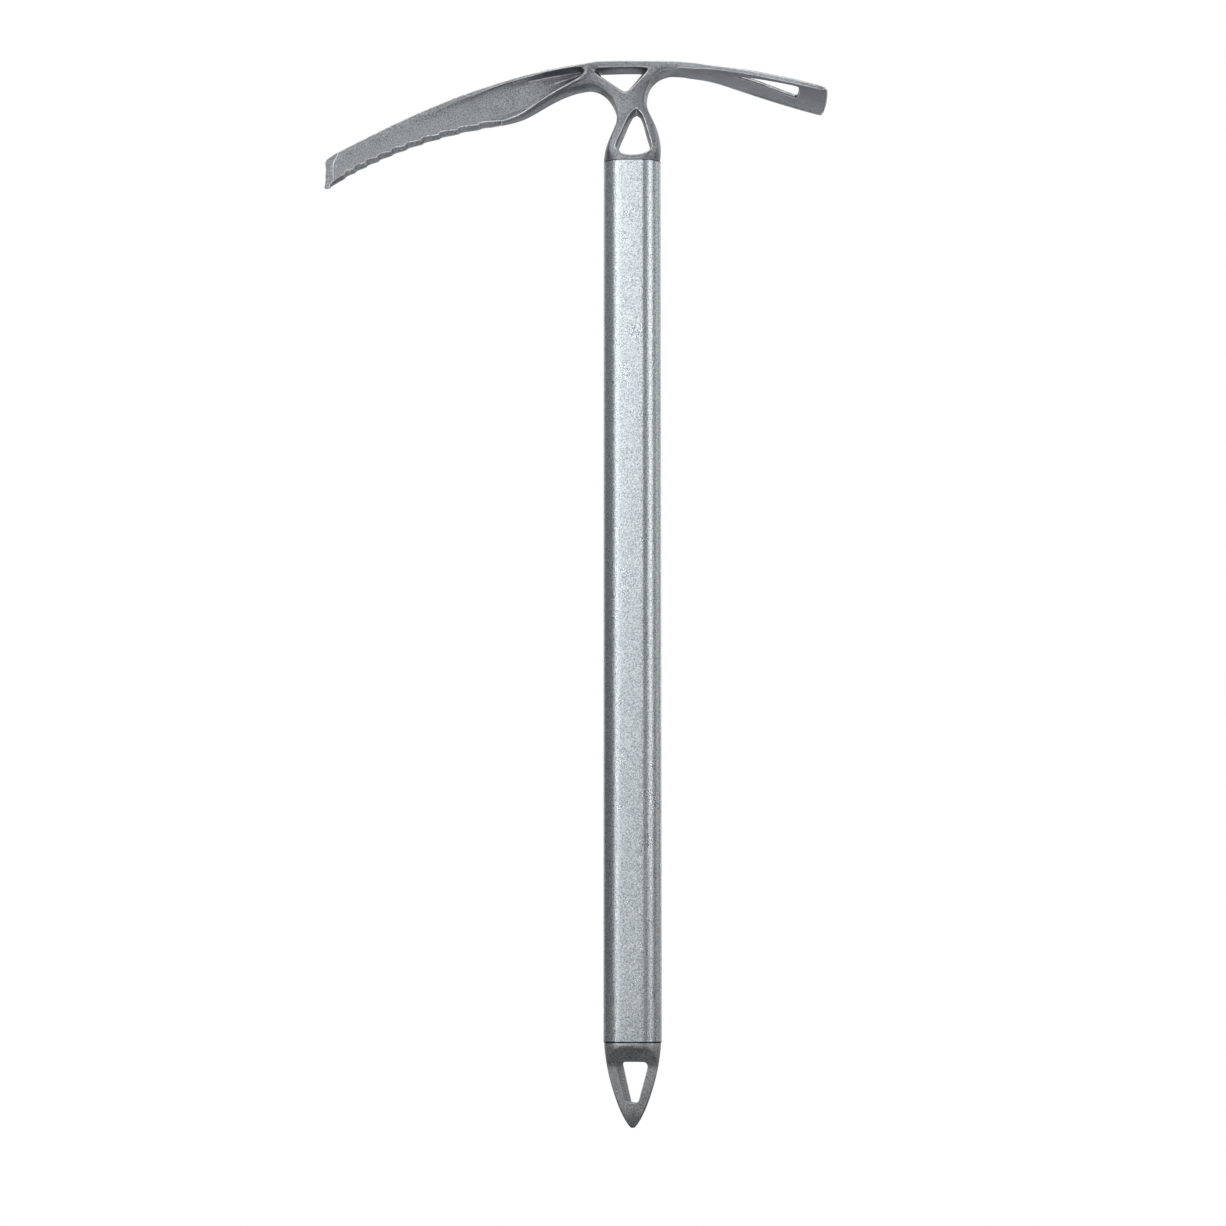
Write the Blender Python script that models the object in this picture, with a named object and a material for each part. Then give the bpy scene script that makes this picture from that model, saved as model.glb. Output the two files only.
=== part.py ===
"""Mountaineering ice axe: a cast head and a cast spike, bonded and pinned into an aluminium shaft.

The drawing frame is in millimetres with z = 0 at the point of the spike, +z up the shaft, the pick
toward -x, the adze toward +x and the thickness along y. One empty carries every piece and sets the
clip-in eye of the head on the world origin.
"""
import math

import bmesh
import bpy
from mathutils import Vector

MM = 0.001

# Driving dimensions, in millimetres
SPIKE_JOINT = 43.0
HEAD_JOINT = 498.3
SHAFT_WIDTH = 29.7
SHAFT_DEPTH = 19.0
SHAFT_WALL = 1.2
CLEARANCE = 0.3
BOND_THICKNESS = 0.4
TANG_WALL = 1.3
HEAD_TANG = 34.0
SPIKE_TANG = 30.0
PIN_DIAMETER = 3.4
HEAD_PINS = (HEAD_JOINT - 11.0, HEAD_JOINT - 24.0)
SPIKE_PIN = SPIKE_JOINT + 16.0
STOPPER_LENGTH = 14.0
HEAD_EYE = (0.3, 508.5)
TOOTH_COUNT = 10
FIRST_PITCH = 5.8
PITCH_GROWTH = 1.08
TOOTH_DEPTH = 0.55
TOOTH_SIDE_DEPTH = 3.0
TOOTH_SIDE = 6.0
TOOTH_LAND = 0.6
TOOTH_FLARE = 1.3
TOOTH_BULGE = 3.1
TOOTH_TIP = Vector((-149.7, 490.9))
TOOTH_ROOT = Vector((-79.8, 516.1))
# Share of the pitch, share of the depth
TOOTH_SHAPE = ((0.0, 0.0), (0.10, 0.80), (0.20, 1.0), (0.36, 0.88), (0.58, 0.58), (0.80, 0.25))
# Roots of the tip's chisel bevel, and the direction in which it thins
TIP_BEVEL = (((-150.6, 509.6), (-0.90, 0.43)), ((-156.0, 498.2), (-0.97, 0.20)),
             ((-155.6, 482.0), (-1.0, 0.0)))
TIP_HALF = 1.95
TIP_TAPER = 3.6
TIP_REACH = 12.0
ROUND_STEPS = 10
PIN_SIDES = 16
PIN_RECESS = 0.1
PIN_EASE = 0.3
SHAFT_EASE = 0.35
STOPPER_EASE = 0.8

# name: colour, roughness, metallic
FINISHES = {
    "cast_steel": ((0.34, 0.35, 0.36), 0.34, 1.0),
    "shaft_aluminium": ((0.66, 0.69, 0.72), 0.36, 1.0),
    "pin_steel": ((0.45, 0.45, 0.46), 0.30, 1.0),
    "adhesive": ((0.62, 0.60, 0.50), 0.45, 0.0),
    "foam": ((0.80, 0.80, 0.78), 0.90, 0.0),
}


def material(name):
    found = bpy.data.materials.get(name)
    if found:
        return found
    colour, roughness, metallic = FINISHES[name]
    made = bpy.data.materials.new(name)
    made.use_nodes = True
    shader = made.node_tree.nodes["Principled BSDF"]
    shader.inputs["Base Color"].default_value = (*colour, 1.0)
    shader.inputs["Roughness"].default_value = roughness
    shader.inputs["Metallic"].default_value = metallic
    return made


def node(name, bm, finish, frame):
    """Turn a bmesh drawn in millimetres into one named object under the frame empty."""
    bmesh.ops.recalc_face_normals(bm, faces=bm.faces)
    bmesh.ops.scale(bm, vec=(MM, MM, MM), verts=bm.verts)
    mesh = bpy.data.meshes.new(name)
    bm.to_mesh(mesh)
    bm.free()
    mesh.materials.append(material(finish))
    made = bpy.data.objects.new(name, mesh)
    bpy.context.scene.collection.objects.link(made)
    made.parent = frame
    return made


def boolean(target, tool, operation="DIFFERENCE"):
    cut = target.modifiers.new(tool.name, "BOOLEAN")
    cut.operation = operation
    cut.solver = "EXACT"
    cut.object = tool
    tool.hide_render = True
    tool.display_type = "WIRE"


# Sections and lofts

def obround(width, depth, steps=ROUND_STEPS):
    """Rounded-oblong outline, flat along x, counter-clockwise from the right-hand end's lower corner."""
    radius = depth / 2
    reach = width / 2 - radius
    outline = []
    for side, start in ((1, -math.pi / 2), (-1, math.pi / 2)):
        for step in range(steps + 1):
            angle = start + math.pi * step / steps
            outline.append((side * reach + radius * math.cos(angle), radius * math.sin(angle)))
    return outline


def loft(bm, sections, closed_ends=True):
    """Skin a list of rings of points, each ring a list of (x, y, z); returns the rings of vertices."""
    rings = [[bm.verts.new(point) for point in section] for section in sections]
    count = len(rings[0])
    for lower, upper in zip(rings, rings[1:]):
        for i in range(count):
            j = (i + 1) % count
            bm.faces.new((lower[i], lower[j], upper[j], upper[i]))
    if closed_ends:
        bm.faces.new(list(reversed(rings[0])))
        bm.faces.new(rings[-1])
    return rings


def obround_ring(width, depth, z):
    return [(x, y, z) for x, y in obround(width, depth)]


def sleeve(bm, outer, inner, bottom, top):
    """Open-ended obround tube; outer and inner are (width, depth)."""
    rings = loft(bm, [obround_ring(*outer, bottom), obround_ring(*outer, top),
                      obround_ring(*inner, top), obround_ring(*inner, bottom)], closed_ends=False)
    count = len(rings[0])
    for i in range(count):
        j = (i + 1) % count
        bm.faces.new((rings[3][i], rings[3][j], rings[0][j], rings[0][i]))


def prism(bm, outline, low, high, place):
    """Extrude a closed outline; place(a, b, depth) gives the point."""
    loft(bm, [[place(a, b, low) for a, b in outline], [place(a, b, high) for a, b in outline]])


def along_y(a, b, depth):
    return (a, depth, b)


def along_x(a, b, depth):
    return (depth, a, b)


def rounded(corners, radius, steps=4):
    """Round every corner of a closed polygon with an arc of the given radius."""
    outline = []
    count = len(corners)
    for i in range(count):
        corner = Vector(corners[i])
        back = (Vector(corners[i - 1]) - corner).normalized()
        ahead = (Vector(corners[(i + 1) % count]) - corner).normalized()
        half = back.angle(ahead) / 2
        reach = radius / math.tan(half)
        centre = corner + (back + ahead).normalized() * radius / math.sin(half)
        first = corner + back * reach - centre
        last = corner + ahead * reach - centre
        turn = first.angle_signed(last)
        for step in range(steps + 1):
            angle = -turn * step / steps
            spoke = Vector((first.x * math.cos(angle) - first.y * math.sin(angle),
                            first.x * math.sin(angle) + first.y * math.cos(angle)))
            outline.append(tuple(centre + spoke))
    return outline


def inside(size, gap):
    """Width and depth of an obround set in by a gap all round."""
    return (size[0] - 2 * gap, size[1] - 2 * gap)


SHAFT_OUTER = (SHAFT_WIDTH, SHAFT_DEPTH)
SHAFT_INNER = inside(SHAFT_OUTER, SHAFT_WALL)
BOND_OUTER = inside(SHAFT_INNER, CLEARANCE)
BOND_INNER = inside(BOND_OUTER, BOND_THICKNESS)
TANG_OUTER = inside(BOND_INNER, CLEARANCE)
TANG_INNER = inside(TANG_OUTER, TANG_WALL)


def circle(radius, height):
    """Circle across the width of the shaft, centred at a height."""
    angles = [math.tau * i / PIN_SIDES for i in range(PIN_SIDES)]
    return [(radius * math.cos(angle), height + radius * math.sin(angle)) for angle in angles]


def pin_cutter(name, height, frame):
    bm = bmesh.new()
    prism(bm, circle(PIN_DIAMETER / 2 + CLEARANCE, height), -SHAFT_WIDTH, SHAFT_WIDTH, along_x)
    return node(name, bm, "pin_steel", frame)


def pin(name, height, frame):
    """Cross pin with lightly rounded ends, flush with the narrow sides of the shaft."""
    bm = bmesh.new()
    radius = PIN_DIAMETER / 2
    eased = radius - PIN_EASE
    half = SHAFT_WIDTH / 2 - PIN_RECESS
    profile = ((-half, eased), (PIN_EASE - half, radius), (half - PIN_EASE, radius), (half, eased))
    loft(bm, [[(x, y, z) for y, z in circle(size, height)] for x, size in profile])
    return node(name, bm, "pin_steel", frame)


# Shaft, bonds and stoppers

def build_shaft(cutters, frame):
    bm = bmesh.new()
    low = SPIKE_JOINT + CLEARANCE
    high = HEAD_JOINT - CLEARANCE
    eased = inside(SHAFT_OUTER, SHAFT_EASE)
    rings = loft(bm, [obround_ring(*SHAFT_INNER, low), obround_ring(*eased, low),
                      obround_ring(*SHAFT_OUTER, low + SHAFT_EASE),
                      obround_ring(*SHAFT_OUTER, high - SHAFT_EASE),
                      obround_ring(*eased, high), obround_ring(*SHAFT_INNER, high)], closed_ends=False)
    count = len(rings[0])
    for i in range(count):
        j = (i + 1) % count
        bm.faces.new((rings[-1][i], rings[-1][j], rings[0][j], rings[0][i]))
    shaft = node("shaft_tube", bm, "shaft_aluminium", frame)
    for cutter in cutters:
        boolean(shaft, cutter)


def build_bond(name, bottom, top, cutters, frame):
    bm = bmesh.new()
    sleeve(bm, BOND_OUTER, BOND_INNER, bottom, top)
    bond = node(name, bm, "adhesive", frame)
    for cutter in cutters:
        boolean(bond, cutter)


def build_stopper(name, bottom, frame):
    bm = bmesh.new()
    size = inside(SHAFT_INNER, CLEARANCE)
    eased = inside(size, STOPPER_EASE)
    top = bottom + STOPPER_LENGTH
    loft(bm, [obround_ring(*eased, bottom), obround_ring(*size, bottom + STOPPER_EASE),
              obround_ring(*size, top - STOPPER_EASE), obround_ring(*eased, top)])
    node(name, bm, "foam", frame)


# Spike: a pointed casting whose broad sides are scooped flat and pierced by an eye

# height, half width, half depth
SPIKE_STATIONS = ((0.0, 0.9, 0.8), (1.0, 2.0, 1.5), (3.4, 3.7, 2.6), (7.0, 5.6, 3.6), (11.0, 7.4, 4.1),
                  (16.0, 9.2, 4.7), (22.0, 11.1, 5.8), (29.0, 12.9, 7.6), (36.0, 14.1, 9.2),
                  (42.5, 14.7, 9.5), (43.0, 14.5, 9.3))
# Profile of the scooped face, as half thickness against height
SPIKE_FACE = ((-2.0, 0.5), (0.0, 0.7), (6.6, 2.5), (30.0, 2.5), (31.4, 2.65), (32.8, 3.15), (34.2, 4.0),
              (36.0, 5.4), (38.0, 7.0), (39.8, 8.6), (41.4, 10.5))
# The eye's outline on the front face and on the rear face, each with its corner radius
SPIKE_EYE_FRONT = (((-9.1, 33.3), (-3.9, 12.5), (2.9, 12.5), (8.5, 33.3)), 2.5)
SPIKE_EYE_REAR = (((-5.2, 33.3), (-0.6, 12.7), (2.9, 12.7), (8.5, 33.3)), 1.2)
SPIKE_EYE_RUN = 2.3


def build_spike(cutters, frame):
    bm = bmesh.new()
    rings = []
    for z, half_width, half_depth in SPIKE_STATIONS:
        rings.append(obround_ring(2 * half_width, 2 * min(half_depth, half_width), z))
    loft(bm, rings)
    spike = node("spike_casting", bm, "cast_steel", frame)
    face = [(-thickness, z) for z, thickness in SPIKE_FACE]
    face += [(-SHAFT_DEPTH, SPIKE_FACE[-1][0]), (-SHAFT_DEPTH, SPIKE_FACE[0][0])]
    for name, side in (("scoop_front", 1), ("scoop_rear", -1)):
        scoop = bmesh.new()
        prism(scoop, [(side * y, z) for y, z in face], -SHAFT_WIDTH, SHAFT_WIDTH, along_x)
        boolean(spike, node(name, scoop, "cast_steel", frame))
    eye = bmesh.new()
    front = rounded(*SPIKE_EYE_FRONT)
    rear = rounded(*SPIKE_EYE_REAR)
    loft(eye, [[along_y(a, b, y) for a, b in outline]
               for outline, y in ((front, -SHAFT_DEPTH), (front, -SPIKE_EYE_RUN),
                                  (rear, SPIKE_EYE_RUN), (rear, SHAFT_DEPTH))])
    boolean(spike, node("spike_eye_cutter", eye, "cast_steel", frame))
    tang = bmesh.new()
    sleeve(tang, TANG_OUTER, TANG_INNER, SPIKE_JOINT - 1.0, SPIKE_JOINT + SPIKE_TANG)
    boolean(spike, node("spike_tang", tang, "cast_steel", frame), "UNION")
    for cutter in cutters:
        boolean(spike, cutter)


# Head: the front half of the casting as a control cage, mirrored and subdivided.
# The pick is drawn as stations from the tip to the neck; each has the upper and the lower edge of its
# front face, the half thickness of its rims, of the web between them, and the belly of the lower rim.

PICK = (
    # upper edge,       lower edge,       rim, web, belly
    ((-159.4, 500.6), (-159.8, 485.4), 1.9, 1.9, 0.1),
    ((-149.5, 506.3), (-151.0, 488.9), 2.1, 2.0, 0.1),
    ((-134.0, 514.1), (-136.5, 496.6), 2.2, 2.0, 0.1),
    ((-118.0, 521.8), (-120.0, 503.6), 2.3, 2.0, 0.1),
    ((-101.5, 529.0), (-103.0, 509.9), 2.5, 2.0, 0.2),
    ((-86.0, 534.9), (-86.5, 514.2), 2.9, 2.0, 0.3),
    ((-71.0, 539.6), (-71.0, 518.8), 3.9, 2.0, 0.7),
    ((-58.0, 543.0), (-57.5, 522.6), 5.6, 2.0, 1.5),
    ((-45.5, 545.8), (-45.5, 530.7), 7.2, 2.0, 2.6),
    ((-34.5, 547.7), (-34.5, 537.0), 7.9, 2.0, 3.2),
    ((-26.0, 548.7), (-26.0, 541.8), 8.2, 2.0, 5.2),
)
# Heights of the rim edges and of the web's fillets inside the front face
RIM_UPPER = 1.4
FILLET = 1.5
RIM_LOWER = 0.9

# The rest of the front face: name: (x, z, half thickness)
FRONT = {
    "bar1": (-19.8, 549.8, 8.3), "bar2": (-12.0, 550.1, 8.2), "bar3": (-3.0, 550.2, 8.2),
    "bar4": (7.0, 550.0, 8.5), "bar5": (16.0, 549.6, 9.2),
    "win1": (-19.2, 547.0, 8.1), "win2": (-12.0, 547.2, 8.0), "win3": (-3.0, 547.3, 8.0),
    "win4": (7.0, 547.2, 8.3), "win5": (8.9, 545.4, 8.3), "win6": (4.4, 540.4, 8.0),
    "win7": (0.2, 535.9, 7.8), "win8": (-4.0, 533.4, 7.7), "win9": (-8.9, 536.7, 7.8),
    "win10": (-14.7, 540.6, 8.0), "win11": (-20.4, 544.8, 8.1),
    "left1": (-21.0, 540.2, 7.6), "left2": (-15.6, 537.4, 7.3), "left3": (-11.0, 533.0, 7.2),
    "left4": (-8.2, 528.4, 7.2), "left5": (-6.5, 522.6, 7.4), "left6": (-7.6, 517.4, 7.9),
    "left7": (-10.0, 511.5, 8.3), "left8": (-11.8, 505.0, 8.3),
    "right0": (16.2, 546.6, 8.9), "right1": (11.4, 542.8, 8.0), "right2": (8.6, 538.6, 7.4),
    "right3": (6.7, 534.4, 7.2), "right4": (6.0, 530.4, 7.2), "right5": (6.6, 526.2, 7.3),
    "right6": (9.4, 520.4, 7.8), "right7": (11.9, 513.4, 8.2), "right8": (13.0, 505.6, 8.2),
    "eye1": (2.1, 525.6, 7.6), "eye2": (-2.5, 520.4, 8.2), "eye3": (-6.0, 512.0, 8.8),
    "eye4": (-8.8, 505.6, 9.1), "eye5": (-6.2, 501.3, 9.4), "eye6": (0.3, 500.2, 9.5),
    "eye7": (7.4, 501.4, 9.4), "eye8": (10.6, 505.0, 9.0), "eye9": (8.8, 511.6, 8.6),
    "eye10": (6.4, 520.0, 8.0),
    "rim1": (-12.2, HEAD_JOINT, 6.6), "rim2": (-8.9, HEAD_JOINT, 8.75), "rim3": (-5.2, HEAD_JOINT, 9.45),
    "rim4": (0.3, HEAD_JOINT, 9.5), "rim5": (5.4, HEAD_JOINT, 9.45), "rim6": (8.9, HEAD_JOINT, 8.75),
    "rim7": (12.2, HEAD_JOINT, 6.6),
}
# Adze stations from the neck outward. Along the lightening window the inner end of a station lies on
# the window's edge instead of on the middle plane.
ADZE = (
    # x, upper edge, lower edge, half width, rise of the arch, inner end (x, half width of the window)
    (26.0, 548.9, 545.7, 10.8, 0.2, (26.0, 0.0)),
    (36.0, 547.3, 544.7, 12.6, 0.7, (36.0, 0.0)),
    (46.0, 545.1, 542.9, 16.0, 1.3, (45.0, 0.0)),
    (55.0, 542.8, 540.6, 19.4, 2.1, (53.0, 0.0)),
    (64.0, 540.4, 538.2, 22.5, 2.8, (60.5, 3.7)),
    (74.0, 537.7, 535.5, 25.2, 3.1, (71.0, 8.4)),
    (83.0, 535.3, 533.1, 27.0, 3.1, (81.5, 12.8)),
    (90.0, 533.4, 531.2, 28.0, 3.0, (86.3, 12.2)),
    (95.6, 531.9, 529.8, 28.6, 2.9, (87.3, 0.0)),
    (99.2, 530.9, 529.1, 28.5, 2.8, (99.9, 0.0)),
)
WINDOW_STATIONS = range(3, 9)
ADZE_DROOP = 0.27

# Where the outer edges of the front face lie on the middle plane: name: (x, z)
MIDDLE = {
    "left1": (-21.2, 535.9), "left2": (-16.2, 534.6), "left3": (-12.2, 531.0), "left4": (-9.6, 526.9),
    "left5": (-8.0, 522.0), "left6": (-9.2, 516.6), "left7": (-12.0, 510.4), "left8": (-14.3, 504.0),
    "right0": (17.0, 542.8), "right1": (13.4, 541.2), "right2": (10.4, 538.4), "right3": (8.6, 534.6),
    "right4": (7.9, 530.4), "right5": (8.3, 526.0), "right6": (11.2, 520.0), "right7": (13.9, 513.0),
    "right8": (15.1, 505.0),
    "rim1": (-SHAFT_WIDTH / 2, HEAD_JOINT), "rim7": (SHAFT_WIDTH / 2, HEAD_JOINT),
    "win1": (-15.6, 545.2), "win2": (-11.0, 545.6), "win3": (-3.0, 545.9), "win4": (4.2, 545.7),
    "win5": (5.0, 544.6), "win6": (2.2, 541.0), "win7": (-0.8, 537.4), "win8": (-3.7, 535.4),
    "win9": (-8.6, 538.2), "win10": (-13.4, 541.5), "win11": (-15.8, 543.6),
    "eye1": (2.5, 523.3), "eye2": (-1.0, 519.4), "eye3": (-4.2, 511.6), "eye4": (-6.7, 505.8),
    "eye5": (-4.9, 502.4), "eye6": (0.3, 501.4), "eye7": (6.6, 502.5), "eye8": (9.3, 505.4),
    "eye9": (7.4, 511.4), "eye10": (5.6, 518.9),
}

# Sharpness of the cage's edges, by the names that both ends of an edge start with
BORDER_SHARP = (("rim", 1.0), (("adze8", "adze9"), 0.95), ("adze", 0.75), ("pick", 0.7), ("win", 0.5),
                ("eye", 0.4), (("bar", "win"), 0.35))
# Rails of the pick that are crests, with the first station where they stand proud of the web
CRESTS = (("B", 4, 0.5), ("C", 3, 0.7))

# Quads of the neck, as names of front points; "pick*" and "adze*" are made from the stations
NECK_FACES = (
    "pickA bar1 win1 pickB", "bar1 bar2 win2 win1", "bar2 bar3 win3 win2", "bar3 bar4 win4 win3",
    "bar4 bar5 right0 win4", "pickB win1 win11 pickC", "pickC win11 left1 pickD",
    "win11 win10 left2 left1", "win10 win9 left3 left2", "win9 win8 left4 left3",
    "win8 eye1 left5 left4", "win4 right0 right1 win5", "win5 right1 right2 win6",
    "win6 right2 right3 win7", "win7 right3 right4 win8", "win8 right4 right5 eye1",
    "eye1 eye2 left6 left5", "eye2 eye3 left7 left6", "eye3 eye4 left8 left7",
    "eye1 right5 right6 eye10", "eye10 right6 right7 eye9", "eye9 right7 right8 eye8",
    "left8 eye4 rim2 rim1", "eye4 eye5 rim3 rim2", "eye5 eye6 rim4 rim3", "eye6 eye7 rim5 rim4",
    "eye7 eye8 rim6 rim5", "eye8 right8 rim7 rim6",
)
SUPPORT = 0.78
CAGE_PASSES = 6


def front_points():
    """Every point of the front face, with its place on the middle plane where it is on an edge."""
    points = {name: Vector((x, -t, z)) for name, (x, z, t) in FRONT.items()}
    middle = {name: Vector((x, 0.0, z)) for name, (x, z) in MIDDLE.items()}
    for name in ("bar1", "bar2", "bar3", "bar4", "bar5"):
        middle[name] = Vector((points[name].x, 0.0, points[name].z + 0.6))
    for name in ("rim2", "rim3", "rim4", "rim5", "rim6"):
        middle[name] = Vector((points[name].x, 0.0, HEAD_JOINT))
    for i, (upper, lower, rim, web, belly) in enumerate(PICK):
        top = Vector((upper[0], -rim, upper[1]))
        bottom = Vector((lower[0], -rim, lower[1]))
        down = (bottom - top).normalized()
        spread = 1.0 + 1.6 * max(0.0, 1.0 - (rim - web) / 2.0)
        column = {"A": top, "B": top + down * RIM_UPPER * spread,
                  "E": top + down * (RIM_UPPER + FILLET) * spread,
                  "F": bottom - down * (RIM_LOWER + FILLET) * spread,
                  "C": bottom - down * RIM_LOWER * spread, "D": bottom}
        column["E"].y = -web
        column["F"].y = -web
        column["D"] += Vector((0.0, 0.15 * rim, -0.25 * belly))
        for rail, point in column.items():
            points[f"pick{i}{rail}"] = point
        middle[f"pick{i}A"] = Vector((top.x, 0.0, top.z + 0.5 * rim / 8))
        middle[f"pick{i}D"] = Vector((bottom.x, 0.0, bottom.z - belly))
    for rail in "BCEF":
        middle[f"pick0{rail}"] = Vector((points[f"pick0{rail}"].x - 0.4, 0.0, points[f"pick0{rail}"].z))
    for i, (x, upper, lower, half_width, rise, (inner_x, window)) in enumerate(ADZE):
        arch = rise * (1 - (window / half_width) ** 2) - ADZE_DROOP * (inner_x - x)
        points[f"adze{i}A"] = Vector((x, -half_width, upper))
        points[f"adze{i}D"] = Vector((x, -half_width, lower))
        middle[f"adze{i}A"] = Vector((inner_x, -window, upper + arch))
        middle[f"adze{i}D"] = Vector((inner_x, -window, lower + arch))
    return points, middle


def front_faces():
    faces = []
    last = len(PICK) - 1
    for i in range(last):
        for upper, lower in ("AB", "BE", "EF", "FC", "CD"):
            faces.append((f"pick{i}{upper}", f"pick{i + 1}{upper}", f"pick{i + 1}{lower}", f"pick{i}{lower}"))
    faces.append((f"pick{last}B", f"pick{last}C", f"pick{last}F", f"pick{last}E"))
    for text in NECK_FACES:
        faces.append(tuple(f"pick{last}{name[-1]}" if name.startswith("pick") else name
                           for name in text.split()))
    faces.append(("bar5", "adze0A", "adze0D", "right0"))
    for i in range(len(ADZE) - 1):
        faces.append((f"adze{i}A", f"adze{i + 1}A", f"adze{i + 1}D", f"adze{i}D"))
    return faces


def head_cage():
    """Front face plus the walls that run from its edges back to the middle plane."""
    bm = bmesh.new()
    crease = bm.edges.layers.float.new("crease_edge")
    points, middle = front_points()
    verts = {name: bm.verts.new(point) for name, point in points.items()}
    names = {vert: name for name, vert in verts.items()}
    for face in front_faces():
        bm.faces.new([verts[name] for name in face])
    rims = [edge for edge in bm.edges if edge.is_boundary]
    rings = {}
    for edge in rims:
        for vert in edge.verts:
            if vert not in rings:
                name = names[vert]
                inward = middle[name] - vert.co
                share = 1 - SUPPORT if name.startswith("rim") else 0.5
                support = vert.co + Vector((inward.x * share, inward.y * (1 - SUPPORT), inward.z * share))
                rings[vert] = (bm.verts.new(support), bm.verts.new(middle[name]))
    for edge in rims:
        first, second = edge.verts
        bm.faces.new((first, second, rings[second][0], rings[first][0]))
        bm.faces.new((rings[first][0], rings[second][0], rings[second][1], rings[first][1]))
        for start, sharpness in BORDER_SHARP:
            if names[first].startswith(start) and names[second].startswith(start):
                edge[crease] = sharpness
                break
    for rail, start, sharpness in CRESTS:
        for i in range(start, len(PICK) - 3):
            crest = bm.edges.get((verts[f"pick{i}{rail}"], verts[f"pick{i + 1}{rail}"]))
            crest[crease] = sharpness
    bm.edges.ensure_lookup_table()
    for i, j in zip(WINDOW_STATIONS, WINDOW_STATIONS[1:]):
        corners = [rings[verts[name]][1] for name in (f"adze{i}A", f"adze{j}A", f"adze{j}D", f"adze{i}D")]
        wall = bm.faces.new(corners)
        for edge in (wall.edges[0], wall.edges[2]):
            edge[crease] = 0.5
    for end in ("rim1", "rim7"):
        front = verts[end]
        chain = (front, *rings[front])
        for first, second in zip(chain, chain[1:]):
            bm.edges.get((first, second))[crease] = 1.0
    return bm


def settle_cage(head):
    """Move the cage until the smooth surface passes through the points it was drawn with."""
    drawn = [vert.co.copy() for vert in head.data.vertices]
    for _ in range(CAGE_PASSES):
        bpy.context.view_layer.update()
        smooth = head.evaluated_get(bpy.context.evaluated_depsgraph_get())
        surface = smooth.to_mesh()
        errors = [target - surface.vertices[i].co for i, target in enumerate(drawn)]
        smooth.to_mesh_clear()
        for vert, error in zip(head.data.vertices, errors):
            if abs(vert.co.y) < 1e-7:
                error.y = 0.0
            vert.co += error * 0.8


def tooth_line(share):
    """Point of the curve through the tooth points, from the tip (0) to the last tooth (1) and beyond."""
    along = TOOTH_TIP.lerp(TOOTH_ROOT, share)
    chord = TOOTH_ROOT - TOOTH_TIP
    return along + chord.orthogonal().normalized() * TOOTH_BULGE * 4 * share * (1 - share)


def tooth_cutter(frame):
    """Saw-tooth profile, steep toward the shaft and shallow toward the tip, flared at both sides."""
    pitches = [FIRST_PITCH * PITCH_GROWTH ** i for i in range(TOOTH_COUNT)]
    span = sum(pitches[:-1])
    up = (TOOTH_ROOT - TOOTH_TIP).orthogonal().normalized()

    def profile(depth):
        line = [tooth_line(-0.12)]
        start = 0.0
        for pitch in pitches:
            first = tooth_line(start / span)
            start += pitch
            last = tooth_line(start / span)
            for share, portion in TOOTH_SHAPE:
                line.append(first.lerp(last, share) + up * portion * depth)
        line.append(last)
        below = up * -6.0
        return line + [last + below, tooth_line(0.5) + below, tooth_line(-0.12) + below]

    bm = bmesh.new()
    rings = []
    for y, depth in ((-TOOTH_SIDE, TOOTH_SIDE_DEPTH), (-TOOTH_LAND, TOOTH_DEPTH),
                     (TOOTH_LAND, TOOTH_DEPTH), (TOOTH_SIDE, TOOTH_SIDE_DEPTH)):
        lift = up * (abs(y) - TOOTH_LAND) * TOOTH_FLARE
        rings.append([(point.x + lift.x, y, point.y + lift.y) for point in profile(depth)])
    loft(bm, rings)
    return node("tooth_cutter", bm, "cast_steel", frame)


def tip_cutter(name, side, frame):
    """Wedge that chisels one side of the pick's tip, along a bent line from its back to its teeth."""
    bm = bmesh.new()
    rings = []
    for root, ahead in TIP_BEVEL:
        root = Vector(root)
        far = root + Vector(ahead) * TIP_REACH
        rings.append([(root.x, -side * TIP_HALF, root.y), (far.x, -side * (TIP_HALF - TIP_TAPER), far.y),
                      (far.x, -side * SHAFT_DEPTH / 2, far.y), (root.x, -side * SHAFT_DEPTH / 2, root.y)])
    loft(bm, rings)
    return node(name, bm, "cast_steel", frame)


def build_head(cutters, frame):
    head = node("head_casting", head_cage(), "cast_steel", frame)
    mirror = head.modifiers.new("both_sides", "MIRROR")
    mirror.use_axis = (False, True, False)
    mirror.merge_threshold = 0.00005
    smooth = head.modifiers.new("cast_surface", "SUBSURF")
    smooth.levels = 1
    smooth.render_levels = 1
    settle_cage(head)
    boolean(head, tooth_cutter(frame))
    boolean(head, tip_cutter("tip_cutter_front", 1, frame))
    boolean(head, tip_cutter("tip_cutter_rear", -1, frame))
    tang = bmesh.new()
    sleeve(tang, TANG_OUTER, TANG_INNER, HEAD_JOINT - HEAD_TANG, HEAD_JOINT + 0.6)
    boolean(head, node("head_tang", tang, "cast_steel", frame), "UNION")
    for cutter in cutters:
        boolean(head, cutter)


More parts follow.
